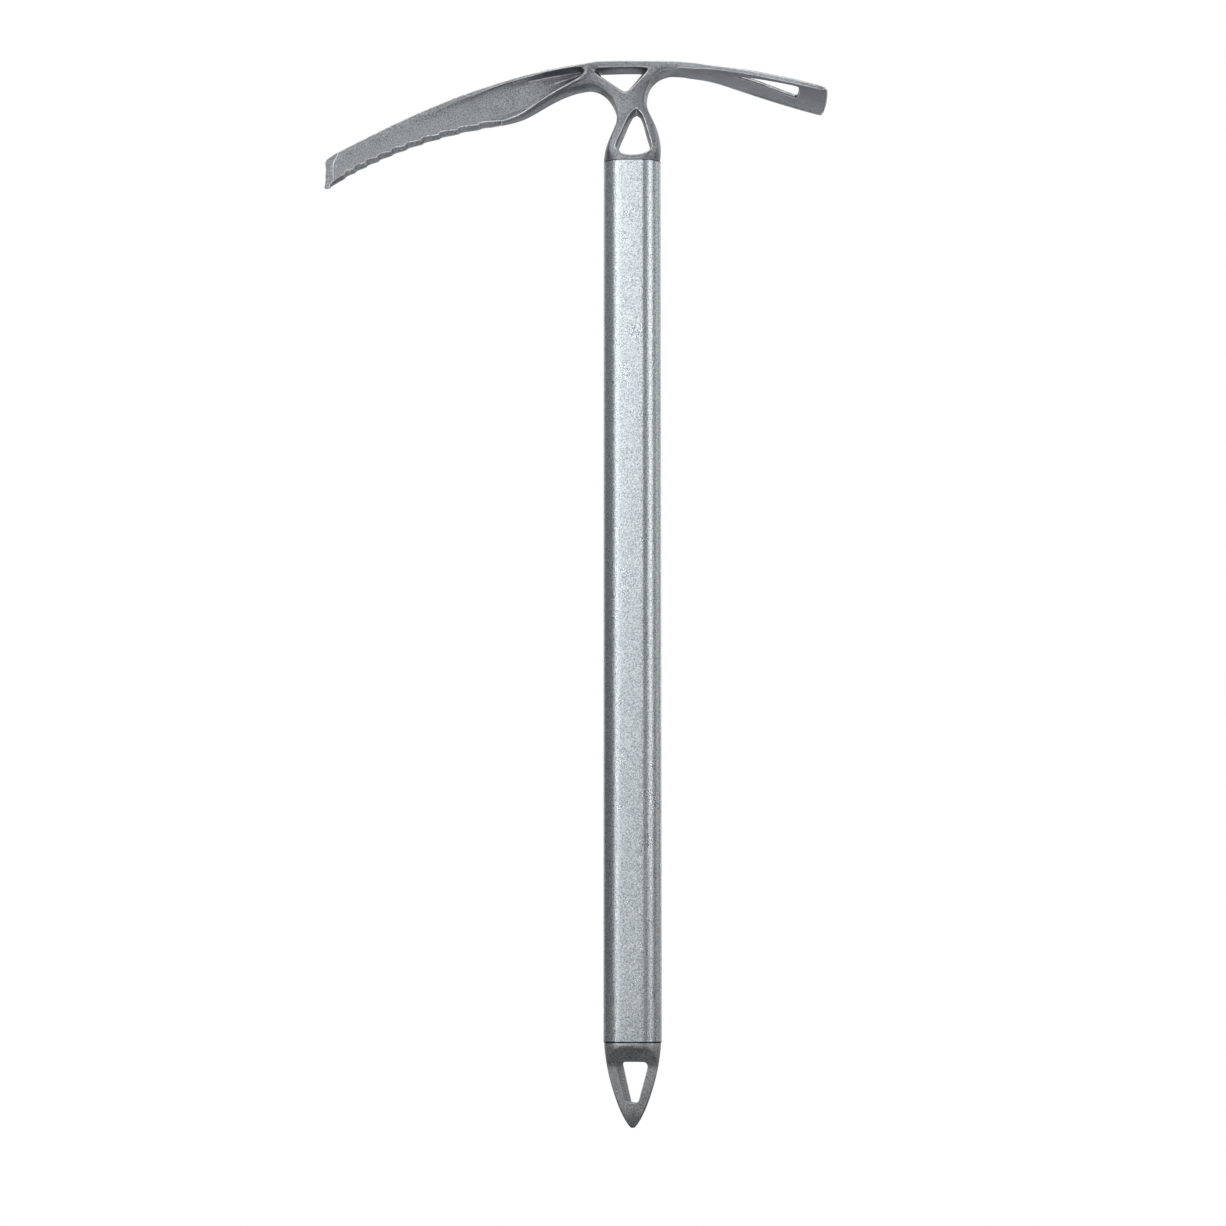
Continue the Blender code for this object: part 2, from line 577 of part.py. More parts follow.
def build():
    for old in list(bpy.data.objects):
        bpy.data.objects.remove(old, do_unlink=True)
    frame = bpy.data.objects.new("axe_frame", None)
    bpy.context.scene.collection.objects.link(frame)
    head_pins = []
    for name, height in zip(("head_pin_upper", "head_pin_lower"), HEAD_PINS):
        pin(name, height, frame)
        head_pins.append(pin_cutter(f"{name}_hole", height, frame))
    pin("spike_pin", SPIKE_PIN, frame)
    spike_pins = [pin_cutter("spike_pin_hole", SPIKE_PIN, frame)]
    build_shaft(head_pins + spike_pins, frame)
    build_bond("head_bond", HEAD_JOINT - HEAD_TANG, HEAD_JOINT - 2.0, head_pins, frame)
    build_bond("spike_bond", SPIKE_JOINT + 2.0, SPIKE_JOINT + SPIKE_TANG, spike_pins, frame)
    build_stopper("upper_stopper", HEAD_JOINT - HEAD_TANG - STOPPER_LENGTH - CLEARANCE, frame)
    build_stopper("lower_stopper", SPIKE_JOINT + SPIKE_TANG + CLEARANCE, frame)
    build_spike(spike_pins, frame)
    build_head(head_pins, frame)
    frame.location = (-HEAD_EYE[0] * MM, 0.0, -HEAD_EYE[1] * MM)


build()
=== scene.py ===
import math

import bmesh
import bpy
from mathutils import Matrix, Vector


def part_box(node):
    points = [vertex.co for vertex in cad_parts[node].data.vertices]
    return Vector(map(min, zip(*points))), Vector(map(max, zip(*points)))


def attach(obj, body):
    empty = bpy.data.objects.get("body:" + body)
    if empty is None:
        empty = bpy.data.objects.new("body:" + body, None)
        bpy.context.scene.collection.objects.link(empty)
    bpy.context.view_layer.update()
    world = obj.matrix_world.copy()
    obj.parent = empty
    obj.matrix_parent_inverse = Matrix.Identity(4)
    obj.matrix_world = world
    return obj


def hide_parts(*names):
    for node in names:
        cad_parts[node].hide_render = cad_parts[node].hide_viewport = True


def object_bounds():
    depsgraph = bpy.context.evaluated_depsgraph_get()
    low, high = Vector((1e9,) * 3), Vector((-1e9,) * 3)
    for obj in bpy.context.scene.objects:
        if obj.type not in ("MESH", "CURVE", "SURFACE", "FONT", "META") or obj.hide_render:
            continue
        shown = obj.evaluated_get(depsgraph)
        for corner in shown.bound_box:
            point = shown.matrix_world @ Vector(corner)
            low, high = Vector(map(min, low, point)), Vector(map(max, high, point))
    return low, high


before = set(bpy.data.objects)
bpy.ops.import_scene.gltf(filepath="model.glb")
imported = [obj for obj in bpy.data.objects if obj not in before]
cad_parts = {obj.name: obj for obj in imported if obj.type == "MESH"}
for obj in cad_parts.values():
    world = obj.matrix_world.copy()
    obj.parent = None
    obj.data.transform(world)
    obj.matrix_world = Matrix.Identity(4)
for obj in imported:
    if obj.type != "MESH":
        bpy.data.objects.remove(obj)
cad_low, cad_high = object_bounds()
scene = bpy.context.scene
scene.view_settings.view_transform = "Standard"

# Camera. It stands low, a little to the adze side, nearly level with the spike, and looks up at the
# head through a long lens, so the undersides of the head show.
axe_height = cad_high[2] - cad_low[2]
camera_data = bpy.data.cameras.new("camera")
camera = bpy.data.objects.new("camera", camera_data)
scene.collection.objects.link(camera)
scene.camera = camera
camera_data.sensor_width = 36.0
camera_data.lens = 112.1
camera_data.clip_end = 20.0
camera.location = (0.0506, -1.9548, cad_low[2] + 0.1330 * axe_height)
camera_aim = Vector((-0.0103, 0.0, cad_low[2] + 0.4770 * axe_height))
camera.rotation_euler = (camera_aim - camera.location).to_track_quat("-Z", "Y").to_euler()

# Shaft. A bare extruded aluminium tube of rounded-oblong section, bead-blasted and clear anodised.
# Its cut ends are lightly chamfered, and three cross pins pass through its narrow sides.


def start_piece():
    """Go to object mode with nothing selected, so that an operator acts only on what it adds."""
    if bpy.context.mode != "OBJECT":
        bpy.ops.object.mode_set(mode="OBJECT")
    bpy.ops.object.select_all(action="DESELECT")


def name_piece(name):
    """Name the active primitive and put its place into its mesh."""
    piece = bpy.context.object
    piece.name = name
    piece.data.name = name
    bpy.ops.object.transform_apply(location=True, rotation=True, scale=True)
    return piece


def select(piece, kind, wanted):
    """In edit mode, select the vertices or faces whose middle passes the test."""
    bpy.context.tool_settings.mesh_select_mode = (kind == "VERT", False, kind == "FACE")
    bpy.ops.mesh.select_all(action="DESELECT")
    mesh = bmesh.from_edit_mesh(piece.data)
    for part in {"VERT": mesh.verts, "FACE": mesh.faces}[kind]:
        middle = part.co if kind == "VERT" else part.calc_center_median()
        if wanted(middle):
            part.select = True
    mesh.select_flush_mode()
    bmesh.update_edit_mesh(piece.data)


def apply_modifier(piece, kind, **values):
    """Add one modifier, set it and apply it."""
    modifier = piece.modifiers.new(kind.lower(), kind)
    for key, value in values.items():
        setattr(modifier, key, value)
    bpy.context.view_layer.objects.active = piece
    bpy.ops.object.modifier_apply(modifier=modifier.name)


def cut_with(piece, tool):
    """Take the tool's shape out of the piece, and remove the tool."""
    apply_modifier(piece, "BOOLEAN", object=tool, operation="DIFFERENCE", solver="EXACT")
    bpy.data.objects.remove(tool, do_unlink=True)


def dress(piece, material):
    """Give a piece one material and let it ride on the axe, which is a single body."""
    piece.data.materials.clear()
    piece.data.materials.append(material)
    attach(piece, "root")


def oblong_ring(name, low_corner, high_corner, height):
    """A closed edge loop of rounded-oblong outline: a stretched circle, pulled apart along x."""
    stretch = 1.08
    depth = high_corner[1] - low_corner[1]
    reach = (high_corner[0] - low_corner[0] - depth * stretch) / 2
    centre = (high_corner[0] + low_corner[0]) / 2
    start_piece()
    bpy.ops.mesh.primitive_circle_add(vertices=96, radius=depth / 2, location=(centre, 0.0, height))
    ring = name_piece(name)
    bpy.ops.object.mode_set(mode="EDIT")
    tiny = depth / 1000
    bpy.ops.mesh.select_all(action="SELECT")
    bpy.ops.transform.resize(value=(stretch, 1.0, 1.0), center_override=(centre, 0.0, height))
    for side in (1, -1):
        select(ring, "VERT", lambda spot: (spot.x - centre) * side > tiny)
        bpy.ops.transform.translate(value=(side * reach, 0.0, 0.0))
    bpy.ops.mesh.select_all(action="SELECT")
    return ring


shaft_wall = 0.0010
shaft_chamfer = 0.00035
# Each end comes this much nearer to its casting than the CAD tube's, so that the joint is a thin line.
joint_squeeze = Vector((0.0, 0.0, 0.0002))
shaft_low, shaft_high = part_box("shaft_tube")
shaft_low, shaft_high = Vector(shaft_low) - joint_squeeze, Vector(shaft_high) + joint_squeeze
shaft_length = shaft_high[2] - shaft_low[2]
pin_names = ("head_pin_upper", "head_pin_lower", "spike_pin")
drill_clearance = 0.00005
drill_length = 0.06
shaft = oblong_ring("shaft", shaft_low, shaft_high, shaft_low[2])
bpy.ops.mesh.extrude_region_move(TRANSFORM_OT_translate={"value": (0.0, 0.0, shaft_length)})
bpy.ops.mesh.select_all(action="SELECT")
bpy.ops.mesh.normals_make_consistent(inside=False)
bpy.ops.object.mode_set(mode="OBJECT")
apply_modifier(shaft, "SOLIDIFY", thickness=shaft_wall, offset=-1.0)
for pin_name in pin_names:
    pin_low, pin_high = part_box(pin_name)
    drill_radius = (pin_high[2] - pin_low[2]) / 2 + drill_clearance
    start_piece()
    bpy.ops.mesh.primitive_cylinder_add(vertices=48, radius=drill_radius, depth=drill_length,
                                        rotation=(0.0, math.pi / 2, 0.0),
                                        location=(Vector(pin_low) + Vector(pin_high)) / 2)
    cut_with(shaft, name_piece("pin_drill"))
apply_modifier(shaft, "BEVEL", width=shaft_chamfer, segments=2, limit_method="ANGLE",
               angle_limit=math.radians(50))
start_piece()
shaft.select_set(True)
bpy.ops.object.shade_smooth_by_angle(angle=math.radians(60))
apply_modifier(shaft, "WEIGHTED_NORMAL", mode="FACE_AREA", weight=100, keep_sharp=True)


def node_group(name, inputs, outputs):
    """An empty shader group with named float or vector sockets, and its in and out nodes."""
    group = bpy.data.node_groups.new(name, "ShaderNodeTree")
    for label, kind, default in inputs:
        socket = group.interface.new_socket(name=label, in_out="INPUT", socket_type=kind)
        if default is not None:
            socket.default_value = default
    for label, kind in outputs:
        group.interface.new_socket(name=label, in_out="OUTPUT", socket_type=kind)
    return group, group.nodes.new("NodeGroupInput"), group.nodes.new("NodeGroupOutput")


def add_node(tree, kind, **values):
    """Add one shader node; a value is a property, or an input when its name is a socket's."""
    added = tree.nodes.new("ShaderNode" + kind)
    for key, value in values.items():
        if hasattr(added, key):
            setattr(added, key, value)
        else:
            added.inputs[key.replace("_", " ")].default_value = value
    return added


# Blasted grain: the fine pitted skin that blasting leaves, its pale and dark specks, and slow waves.
blasted_grain, grain_in, grain_out = node_group(
    "Blasted grain",
    (("Vector", "NodeSocketVector", None), ("Normal", "NodeSocketVector", None),
     ("Grain size", "NodeSocketFloat", 1500.0), ("Grain depth", "NodeSocketFloat", 0.3),
     ("Wave depth", "NodeSocketFloat", 0.1)),
    (("Normal", "NodeSocketVector"), ("Speck", "NodeSocketFloat"), ("Cloud", "NodeSocketFloat")))
fine = add_node(blasted_grain, "TexNoise", Detail=2.0, Roughness=0.7)
wave = add_node(blasted_grain, "TexNoise", Scale=95.0, Detail=3.0, Roughness=0.55)
fine_bump = add_node(blasted_grain, "Bump", Distance=0.00025)
wave_bump = add_node(blasted_grain, "Bump", Distance=0.0006)
speck = add_node(blasted_grain, "MapRange", clamp=False, From_Min=0.36, From_Max=0.64)
cloudy = add_node(blasted_grain, "MapRange", From_Min=0.32, From_Max=0.68)
blasted_grain.links.new(grain_in.outputs["Vector"], fine.inputs["Vector"])
blasted_grain.links.new(grain_in.outputs["Vector"], wave.inputs["Vector"])
blasted_grain.links.new(grain_in.outputs["Grain size"], fine.inputs["Scale"])
blasted_grain.links.new(grain_in.outputs["Normal"], wave_bump.inputs["Normal"])
blasted_grain.links.new(wave.outputs["Fac"], wave_bump.inputs["Height"])
blasted_grain.links.new(grain_in.outputs["Wave depth"], wave_bump.inputs["Strength"])
blasted_grain.links.new(fine.outputs["Fac"], fine_bump.inputs["Height"])
blasted_grain.links.new(grain_in.outputs["Grain depth"], fine_bump.inputs["Strength"])
blasted_grain.links.new(wave_bump.outputs["Normal"], fine_bump.inputs["Normal"])
blasted_grain.links.new(fine_bump.outputs["Normal"], grain_out.inputs["Normal"])
blasted_grain.links.new(fine.outputs["Fac"], speck.inputs["Value"])
blasted_grain.links.new(speck.outputs["Result"], grain_out.inputs["Speck"])
blasted_grain.links.new(wave.outputs["Fac"], cloudy.inputs["Value"])
blasted_grain.links.new(cloudy.outputs["Result"], grain_out.inputs["Cloud"])

# Worn edge and painted highlight: the skin's direction with its corners rounded off, and a mask that is
# one where a corner is rubbed bright, partly real wear and partly a painted highlight, broken up by
# noise.
wear_and_highlight_group, edge_in, edge_out = node_group(
    "Worn edge and painted highlight",
    (("Vector", "NodeSocketVector", None), ("Reach", "NodeSocketFloat", 0.0007),
     ("Share", "NodeSocketFloat", 1.0)),
    (("Mask", "NodeSocketFloat"), ("Normal", "NodeSocketVector")))
corner = add_node(wear_and_highlight_group, "Bevel", samples=8)
face = add_node(wear_and_highlight_group, "NewGeometry")
facing = add_node(wear_and_highlight_group, "VectorMath", operation="DOT_PRODUCT")
turned = add_node(wear_and_highlight_group, "Math", operation="SUBTRACT")
turned.inputs[0].default_value = 1.0
turn_angle = add_node(wear_and_highlight_group, "Math", operation="SQRT")
sharp_enough = add_node(wear_and_highlight_group, "MapRange", From_Min=0.04, From_Max=0.11)
patchy = add_node(wear_and_highlight_group, "TexNoise", Scale=420.0, Detail=3.0)
broken = add_node(wear_and_highlight_group, "MapRange", From_Min=0.30, From_Max=0.55, To_Min=0.45)
rubbed_and_highlit = add_node(wear_and_highlight_group, "Math", operation="MULTIPLY", use_clamp=True)
shared = add_node(wear_and_highlight_group, "Math", operation="MULTIPLY")
wear_and_highlight_group.links.new(edge_in.outputs["Reach"], corner.inputs["Radius"])
wear_and_highlight_group.links.new(corner.outputs["Normal"], facing.inputs[0])
wear_and_highlight_group.links.new(corner.outputs["Normal"], edge_out.inputs["Normal"])
wear_and_highlight_group.links.new(face.outputs["Normal"], facing.inputs[1])
wear_and_highlight_group.links.new(facing.outputs["Value"], turned.inputs[1])
wear_and_highlight_group.links.new(turned.outputs["Value"], turn_angle.inputs[0])
wear_and_highlight_group.links.new(turn_angle.outputs["Value"], sharp_enough.inputs["Value"])
wear_and_highlight_group.links.new(edge_in.outputs["Vector"], patchy.inputs["Vector"])
wear_and_highlight_group.links.new(patchy.outputs["Fac"], broken.inputs["Value"])
wear_and_highlight_group.links.new(sharp_enough.outputs["Result"], rubbed_and_highlit.inputs[0])
wear_and_highlight_group.links.new(broken.outputs["Result"], rubbed_and_highlit.inputs[1])
wear_and_highlight_group.links.new(rubbed_and_highlit.outputs["Value"], shared.inputs[0])
wear_and_highlight_group.links.new(edge_in.outputs["Share"], shared.inputs[1])
wear_and_highlight_group.links.new(shared.outputs["Value"], edge_out.inputs["Mask"])

# Painted corner shade: a mask that is one down in grooves and inside corners, where shade falls; it
# paints shade into the colour there.
painted_corner_shade, shade_in, shade_out = node_group(
    "Painted corner shade",
    (("Reach", "NodeSocketFloat", 0.0012), ("Share", "NodeSocketFloat", 1.0)),
    (("Mask", "NodeSocketFloat"),))
openness = add_node(painted_corner_shade, "AmbientOcclusion", samples=8)
closed_in = add_node(painted_corner_shade, "MapRange", interpolation_type="SMOOTHSTEP", From_Min=0.95,
                     From_Max=0.60)
shared_shade = add_node(painted_corner_shade, "Math", operation="MULTIPLY")
painted_corner_shade.links.new(shade_in.outputs["Reach"], openness.inputs["Distance"])
painted_corner_shade.links.new(openness.outputs["AO"], closed_in.inputs["Value"])
painted_corner_shade.links.new(closed_in.outputs["Result"], shared_shade.inputs[0])
painted_corner_shade.links.new(shade_in.outputs["Share"], shared_shade.inputs[1])
painted_corner_shade.links.new(shared_shade.outputs["Value"], shade_out.inputs["Mask"])


def blasted_metal(name, dark, light, edge, roughness, grain_size, grain_depth, wave_depth, cloud_share,
                  edge_share, edge_reach, painted_shade_share, ends=None):
    """A bead-blasted metal, specked between two colours, pale on worn edges partly as a painted
    highlight, and darkened by painted shade in corners.

    Roughness is its value where the skin is clear and where it is cloudy. Ends gives the heights at
    which a tube butts against other pieces, and how wide a band of painted shade lies at those joints.
    """
    # Near-black colour painted into corners and joints as painted shade.
    painted_shade_colour = (0.035, 0.035, 0.037, 1.0)
    edge_polish = 0.06
    made = bpy.data.materials.new(name)
    made.use_nodes = True
    tree = made.node_tree
    shader = tree.nodes["Principled BSDF"]
    shader.inputs["Metallic"].default_value = 1.0
    place = add_node(tree, "TexCoord")
    surface = add_node(tree, "Group", node_tree=blasted_grain)
    surface.inputs["Grain size"].default_value = grain_size
    surface.inputs["Grain depth"].default_value = grain_depth
    surface.inputs["Wave depth"].default_value = wave_depth
    wear_and_highlight = add_node(tree, "Group", node_tree=wear_and_highlight_group)
    wear_and_highlight.inputs["Share"].default_value = edge_share
    wear_and_highlight.inputs["Reach"].default_value = edge_reach
    corner_shade = add_node(tree, "Group", node_tree=painted_corner_shade)
    corner_shade.inputs["Share"].default_value = painted_shade_share
    blend = add_node(tree, "Mix", data_type="FLOAT")
    blend.inputs[0].default_value = cloud_share
    tone = add_node(tree, "Mix", data_type="RGBA", clamp_factor=False)
    tone.inputs["A"].default_value = (*dark, 1.0)
    tone.inputs["B"].default_value = (*light, 1.0)
    # Edges are painted pale: partly wear, partly a painted highlight.
    rubbed_and_highlit_tone = add_node(tree, "Mix", data_type="RGBA")
    rubbed_and_highlit_tone.inputs["B"].default_value = (*edge, 1.0)
    # Corners and joint ends are darkened with painted shade.
    shaded_tone = add_node(tree, "Mix", data_type="RGBA")
    shaded_tone.inputs["B"].default_value = painted_shade_colour
    gloss = add_node(tree, "MapRange", To_Min=roughness[0], To_Max=roughness[1])
    worn_gloss = add_node(tree, "Mix", data_type="FLOAT")
    worn_gloss.inputs[3].default_value = roughness[0] - edge_polish
    tree.links.new(place.outputs["Object"], surface.inputs["Vector"])
    tree.links.new(place.outputs["Object"], wear_and_highlight.inputs["Vector"])
    tree.links.new(wear_and_highlight.outputs["Normal"], surface.inputs["Normal"])
    tree.links.new(surface.outputs["Speck"], blend.inputs[2])
    tree.links.new(surface.outputs["Cloud"], blend.inputs[3])
    tree.links.new(blend.outputs[0], tone.inputs["Factor"])
    tree.links.new(tone.outputs["Result"], rubbed_and_highlit_tone.inputs["A"])
    tree.links.new(wear_and_highlight.outputs["Mask"], rubbed_and_highlit_tone.inputs["Factor"])
    tree.links.new(rubbed_and_highlit_tone.outputs["Result"], shaded_tone.inputs["A"])
    if ends is None:
        tree.links.new(corner_shade.outputs["Mask"], shaded_tone.inputs["Factor"])
    else:
        # A band at each end of the tube is painted shade for the joint line.
        low, high, shade_width = ends
        height = add_node(tree, "SeparateXYZ")
        from_middle = add_node(tree, "Math", operation="SUBTRACT")
        from_middle.inputs[1].default_value = (low + high) / 2
        distance = add_node(tree, "Math", operation="ABSOLUTE")
        at_end = add_node(tree, "MapRange", From_Min=(high - low) / 2 - shade_width * 1.3,
                          From_Max=(high - low) / 2 - shade_width * 0.7)
        more_shaded = add_node(tree, "Math", operation="MAXIMUM")
        tree.links.new(place.outputs["Object"], height.inputs["Vector"])
        tree.links.new(height.outputs["Z"], from_middle.inputs[0])
        tree.links.new(from_middle.outputs["Value"], distance.inputs[0])
        tree.links.new(distance.outputs["Value"], at_end.inputs["Value"])
        tree.links.new(at_end.outputs["Result"], more_shaded.inputs[0])
        tree.links.new(corner_shade.outputs["Mask"], more_shaded.inputs[1])
        tree.links.new(more_shaded.outputs["Value"], shaded_tone.inputs["Factor"])
    tree.links.new(shaded_tone.outputs["Result"], shader.inputs["Base Color"])
    tree.links.new(surface.outputs["Cloud"], gloss.inputs["Value"])
    tree.links.new(gloss.outputs["Result"], worn_gloss.inputs[2])
    tree.links.new(wear_and_highlight.outputs["Mask"], worn_gloss.inputs[0])
    tree.links.new(worn_gloss.outputs[0], shader.inputs["Roughness"])
    tree.links.new(surface.outputs["Normal"], shader.inputs["Normal"])
    return made


# Width of the band of painted shade at each end of the shaft, where the joint line is dark.
joint_shade_width = 0.00045
anodised = blasted_metal("anodised_aluminium", dark=(0.385, 0.445, 0.50), light=(0.97, 1.0, 1.0),
                         edge=(0.95, 0.96, 0.97), roughness=(0.27, 0.29), grain_size=1400.0,
                         grain_depth=0.5, wave_depth=0.0, cloud_share=0.04, edge_share=0.0,
                         edge_reach=0.0003, painted_shade_share=1.0,
                         ends=(shaft_low[2], shaft_high[2], joint_shade_width))
dress(shaft, anodised)
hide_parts("shaft_tube")

# Head. One investment casting in stainless steel: the toothed pick, the open neck, the drooped adze
# and a hollow tang that is bonded inside the shaft. The bead-blasted skin is rubbed bright on edges,
# partly as a painted highlight, and has painted shade in its corners.
smooth_below = math.radians(18)
tip_ground_length = 0.014


def smooth_copy(node_name, piece_name, sharp_angle, levels, ground_end=None):
    """A copy of a CAD node with its facets joined and its skin subdivided; sharp edges stay sharp.

    Where x is below ground_end the casting has been ground flat, so its shallow edges stay there too.
    """
    merge_gap = 0.000002
    flat_enough = math.radians(60)
    ground_angle = math.radians(13)
    start_piece()
    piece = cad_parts[node_name].copy()
    piece.data = piece.data.copy()
    piece.name = piece_name
    piece.data.name = piece_name
    piece.parent = None
    scene.collection.objects.link(piece)
    piece.select_set(True)
    bpy.context.view_layer.objects.active = piece
    bpy.ops.object.mode_set(mode="EDIT")
    bpy.context.tool_settings.mesh_select_mode = (False, True, False)
    bpy.ops.mesh.select_all(action="SELECT")
    bpy.ops.mesh.remove_doubles(threshold=merge_gap)
    bpy.ops.mesh.tris_convert_to_quads(face_threshold=flat_enough, shape_threshold=flat_enough)
    bpy.ops.mesh.select_all(action="DESELECT")
    bpy.ops.mesh.edges_select_sharp(sharpness=sharp_angle)
    bpy.ops.transform.edge_crease(value=1.0)
    if ground_end is not None:
        bpy.ops.mesh.edges_select_sharp(sharpness=ground_angle)
        mesh = bmesh.from_edit_mesh(piece.data)
        for edge in mesh.edges:
            if edge.select and max(vert.co.x for vert in edge.verts) > ground_end:
                edge.select = False
        bpy.ops.mesh.mark_sharp()
        bpy.ops.transform.edge_crease(value=1.0)
    bpy.ops.object.mode_set(mode="OBJECT")
    apply_modifier(piece, "SUBSURF", levels=levels, render_levels=levels)
    start_piece()
    piece.select_set(True)
    bpy.ops.object.shade_smooth_by_angle(angle=smooth_below)
    return piece


head = smooth_copy("head_casting", "head", sharp_angle=math.radians(24), levels=2,
                   ground_end=cad_low[0] + tip_ground_length)
# Edges get a near-white painted highlight on top of their wear, and corners get painted shade.
cast_steel = blasted_metal("cast_steel", dark=(0.175, 0.185, 0.20), light=(0.49, 0.51, 0.54),
                           edge=(0.99, 0.99, 1.0), roughness=(0.36, 0.44), grain_size=1500.0,
                           grain_depth=0.5, wave_depth=0.12, cloud_share=0.22, edge_share=1.0,
                           edge_reach=0.0008, painted_shade_share=0.75)
dress(head, cast_steel)
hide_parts("head_casting")

# Spike. A stainless casting with a hollow tang like the head's: the shaft's outline runs down to a
# point, both broad sides are scooped flat, and an eye for a leash or a carabiner goes through.
spike = smooth_copy("spike_casting", "spike", sharp_angle=math.radians(20), levels=1)
# Edges get a pale painted highlight on top of their wear, and the scoop and corners get painted shade.
spike_steel = blasted_metal("spike_steel", dark=(0.27, 0.27, 0.28), light=(0.66, 0.66, 0.67),
                            edge=(0.80, 0.80, 0.81), roughness=(0.38, 0.46), grain_size=1150.0,
                            grain_depth=0.5, wave_depth=0.08, cloud_share=0.22, edge_share=0.6,
                            edge_reach=0.0006, painted_shade_share=0.9)
dress(spike, spike_steel)
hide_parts("spike_casting")

# Cross pins. Hardened steel rollers pressed through the narrow sides of the shaft and both walls of a
# tang, two in the head and one in the spike, then dressed flush so that only their ends show.
# Pin ends get a pale painted highlight on their edges and painted shade in their corners.
pin_steel = blasted_metal("pin_steel", dark=(0.34, 0.34, 0.35), light=(0.56, 0.56, 0.57),
                          edge=(0.85, 0.85, 0.86), roughness=(0.30, 0.42), grain_size=1800.0,
                          grain_depth=0.2, wave_depth=0.05, cloud_share=0.5, edge_share=0.4,
                          edge_reach=0.0003, painted_shade_share=0.8)
pin_crown = 0.0002
pin_low, pin_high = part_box("head_pin_upper")
pin_middle = (Vector(pin_low) + Vector(pin_high)) / 2
pin_reach = (pin_high[0] - pin_low[0]) / 2 - pin_crown
near_end = pin_reach * 0.99
start_piece()
bpy.ops.mesh.primitive_cylinder_add(vertices=64, radius=(pin_high[2] - pin_low[2]) / 2,
                                    depth=2 * pin_reach, rotation=(0.0, math.pi / 2, 0.0),
                                    location=pin_middle)
roller = name_piece("roller")
bpy.ops.object.mode_set(mode="EDIT")
for side in (1, -1):
    select(roller, "FACE", lambda spot: (spot.x - pin_middle.x) * side > near_end)
    bpy.ops.mesh.inset(thickness=pin_crown * 2)
    bpy.ops.transform.translate(value=(side * pin_crown, 0.0, 0.0))
bpy.ops.object.mode_set(mode="OBJECT")
apply_modifier(roller, "BEVEL", width=pin_crown / 2, segments=2, limit_method="ANGLE",
               angle_limit=math.radians(20))
start_piece()
roller.select_set(True)
bpy.ops.object.shade_smooth_by_angle(angle=smooth_below)
for pin_name in pin_names:
    pin_low, pin_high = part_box(pin_name)
    pin = roller.copy()
    pin.data = roller.data.copy()
    pin.name = pin_name + "_roller"
    pin.data.name = pin.name
    scene.collection.objects.link(pin)
    start_piece()
    pin.select_set(True)
    bpy.context.view_layer.objects.active = pin
    bpy.ops.object.mode_set(mode="EDIT")
    bpy.ops.mesh.select_all(action="SELECT")
    bpy.ops.transform.translate(value=(Vector(pin_low) + Vector(pin_high)) / 2 - pin_middle)
    bpy.ops.object.mode_set(mode="OBJECT")
    dress(pin, pin_steel)
    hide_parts(pin_name)
bpy.data.objects.remove(roller, do_unlink=True)

# Adhesive. A sleeve of structural epoxy round each tang, squeezed out thin when the tang is pushed
# home; the shaft hides it. It keeps its CAD shape.


def filler(name, dark, light, roughness, translucency, texture, texture_output, bump):
    """A dull filling, mottled between two colours by a texture that also gives its relief."""
    texture_kind, texture_values = texture
    made = bpy.data.materials.new(name)
    made.use_nodes = True
    tree = made.node_tree
    shader = tree.nodes["Principled BSDF"]
    shader.inputs["Roughness"].default_value = roughness
    shader.inputs["Subsurface Weight"].default_value = translucency
    place = add_node(tree, "TexCoord")
    mottle = add_node(tree, texture_kind, **texture_values)
    tone = add_node(tree, "ValToRGB")
    tone.color_ramp.elements[0].color = (*dark, 1.0)
    tone.color_ramp.elements[1].color = (*light, 1.0)
    relief = add_node(tree, "Bump", Strength=bump[0], Distance=bump[1])
    tree.links.new(place.outputs["Object"], mottle.inputs["Vector"])
    tree.links.new(mottle.outputs[texture_output], tone.inputs["Fac"])
    tree.links.new(tone.outputs["Color"], shader.inputs["Base Color"])
    tree.links.new(mottle.outputs[texture_output], relief.inputs["Height"])
    tree.links.new(relief.outputs["Normal"], shader.inputs["Normal"])
    return made


epoxy = filler("epoxy", dark=(0.38, 0.35, 0.24), light=(0.58, 0.55, 0.42), roughness=0.4,
               translucency=0.1, texture=("TexNoise", {"Scale": 260.0, "Detail": 4.0}),
               texture_output="Fac", bump=(0.4, 0.0002))
for node_name in ("head_bond", "spike_bond"):
    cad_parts[node_name].material_slots[0].material = epoxy

# Stoppers. Plugs cut from closed-cell foam, pushed up the tube before bonding so that the adhesive and
# later any water stay out of the shaft. They are hidden and keep their CAD shape.
foam = filler("closed_cell_foam", dark=(0.46, 0.46, 0.44), light=(0.72, 0.72, 0.70), roughness=0.9,
              translucency=0.0, texture=("TexVoronoi", {"Scale": 900.0}),
              texture_output="Distance", bump=(0.6, 0.0003))
for node_name in ("upper_stopper", "lower_stopper"):
    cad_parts[node_name].material_slots[0].material = foam

# Floor and light. The camera sees a white floor and a white surround, but the metal sees a dim grey
# room, so that the softboxes draw its shape. A panel's brightness doesn't depend on its size.


def white_to_camera(tree, seen, hidden):
    """Mix two shaders: the first for what the camera sees straight on, the second for reflections."""
    path = add_node(tree, "LightPath")
    mix = add_node(tree, "MixShader")
    tree.links.new(path.outputs["Is Camera Ray"], mix.inputs["Fac"])
    tree.links.new(hidden.outputs[0], mix.inputs[1])
    tree.links.new(seen.outputs[0], mix.inputs[2])
    return mix


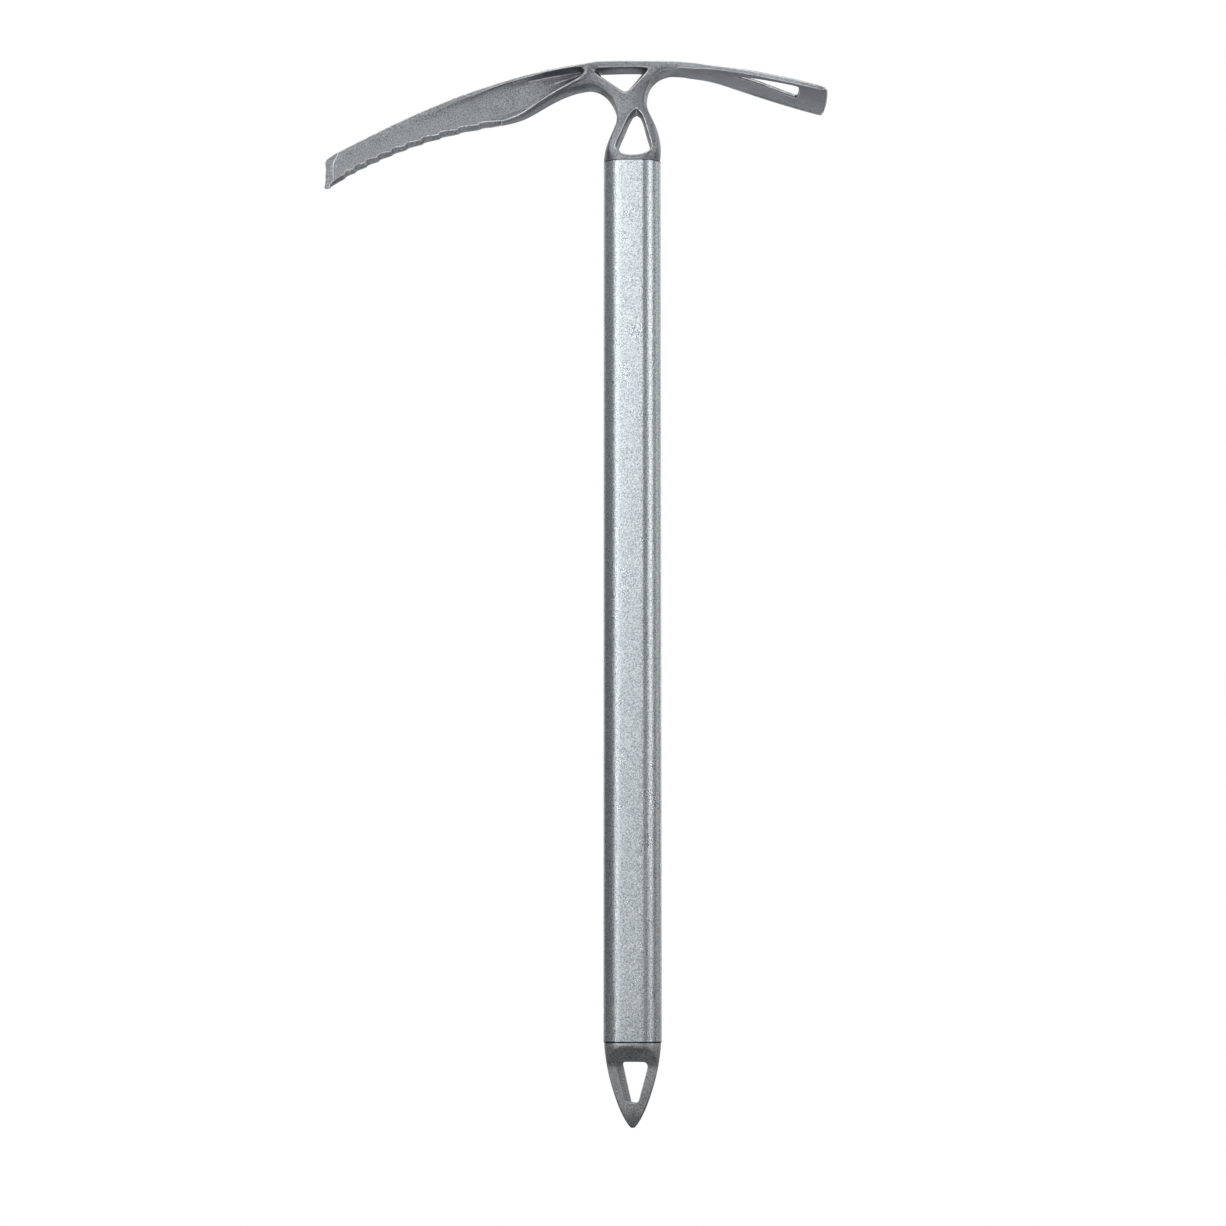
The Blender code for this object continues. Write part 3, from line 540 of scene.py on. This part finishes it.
floor_radius = 9.0
floor_gap = 0.0005
start_piece()
bpy.ops.mesh.primitive_circle_add(vertices=96, radius=floor_radius, fill_type="NGON",
                                  location=(0.0, 0.0, cad_low[2] - floor_gap))
floor = name_piece("floor")
floor_finish = bpy.data.materials.new("floor_white")
floor_finish.use_nodes = True
floor_tree = floor_finish.node_tree
floor_tree.nodes.remove(floor_tree.nodes["Principled BSDF"])
floor_seen = add_node(floor_tree, "Emission", Color=(1.0, 1.0, 1.0, 1.0), Strength=1.0)
floor_hidden = add_node(floor_tree, "BsdfDiffuse", Color=(0.28, 0.28, 0.285, 1.0))
floor_tree.links.new(white_to_camera(floor_tree, floor_seen, floor_hidden).outputs[0],
                     floor_tree.nodes["Material Output"].inputs["Surface"])
floor.data.materials.append(floor_finish)

world = bpy.data.worlds.new("studio")
scene.world = world
world.use_nodes = True
world_tree = world.node_tree
world_seen = world_tree.nodes["Background"]
world_seen.inputs["Color"].default_value = (1.0, 1.0, 1.0, 1.0)
world_place = add_node(world_tree, "TexCoord")
world_height = add_node(world_tree, "SeparateXYZ")
world_fade = add_node(world_tree, "MapRange", interpolation_type="SMOOTHSTEP", From_Min=0.0,
                      From_Max=0.35, To_Min=0.09, To_Max=0.34)
world_hidden = add_node(world_tree, "Background", Color=(0.96, 0.98, 1.0, 1.0))
world_tree.links.new(world_place.outputs["Generated"], world_height.inputs["Vector"])
world_tree.links.new(world_height.outputs["Z"], world_fade.inputs["Value"])
world_tree.links.new(world_fade.outputs["Result"], world_hidden.inputs["Strength"])
world_tree.links.new(white_to_camera(world_tree, world_seen, world_hidden).outputs[0],
                     world_tree.nodes["World Output"].inputs["Surface"])


def panel(name, place, turn, width, height, brightness):
    """A rectangular light that the camera can't see; its power grows with its area."""
    light = bpy.data.lights.new(name, "AREA")
    light.shape = "RECTANGLE"
    light.size = width
    light.size_y = height
    light.energy = brightness * math.pi * width * height
    light.color = (0.985, 0.995, 1.0)
    lamp = bpy.data.objects.new(name, light)
    scene.collection.objects.link(lamp)
    lamp.location = place
    lamp.rotation_euler = turn
    lamp.visible_camera = False


def softbox(name, azimuth, distance, width, bottom, top, brightness):
    """An upright panel facing the axe, its heights from the floor; azimuth 90 is the adze side."""
    turn = math.radians(azimuth)
    place = (distance * math.sin(turn), -distance * math.cos(turn), cad_low[2] + (bottom + top) / 2)
    panel(name, place, (math.pi / 2, 0.0, turn), width, top - bottom, brightness)


def glow(name, x, y, width, depth, brightness):
    """A panel lying face up just over the floor, for the undersides of the head."""
    above_floor = 0.01
    panel(name, (x, y, cad_low[2] + above_floor), (math.pi, 0.0, 0.0), width, depth, brightness)


softbox("left_strip", azimuth=-34.0, distance=2.2, width=0.50, bottom=0.10, top=2.0, brightness=2.8)
softbox("right_strip", azimuth=53.0, distance=2.2, width=0.56, bottom=0.10, top=2.0, brightness=2.25)
softbox("right_fill", azimuth=105.0, distance=2.4, width=1.10, bottom=0.02, top=2.0, brightness=0.55)
softbox("front_soft", azimuth=-6.5, distance=2.2, width=0.40, bottom=0.28, top=1.5, brightness=2.95)
softbox("rear_left", azimuth=-150.0, distance=2.4, width=0.9, bottom=0.02, top=2.0, brightness=0.7)
softbox("rear_right", azimuth=150.0, distance=2.4, width=0.9, bottom=0.02, top=2.0, brightness=0.95)
panel("overhead", (0.0, 0.0, cad_high[2] + 1.3), (0.0, 0.0, 0.0), width=1.6, height=1.0, brightness=1.6)
glow("floor_glow", x=0.1, y=0.95, width=1.2, depth=1.3, brightness=0.45)
glow("pick_glow", x=-0.20, y=-0.48, width=0.7, depth=0.36, brightness=0.8)
glow("rim_glow", x=0.48, y=-0.85, width=0.4, depth=0.4, brightness=0.8)
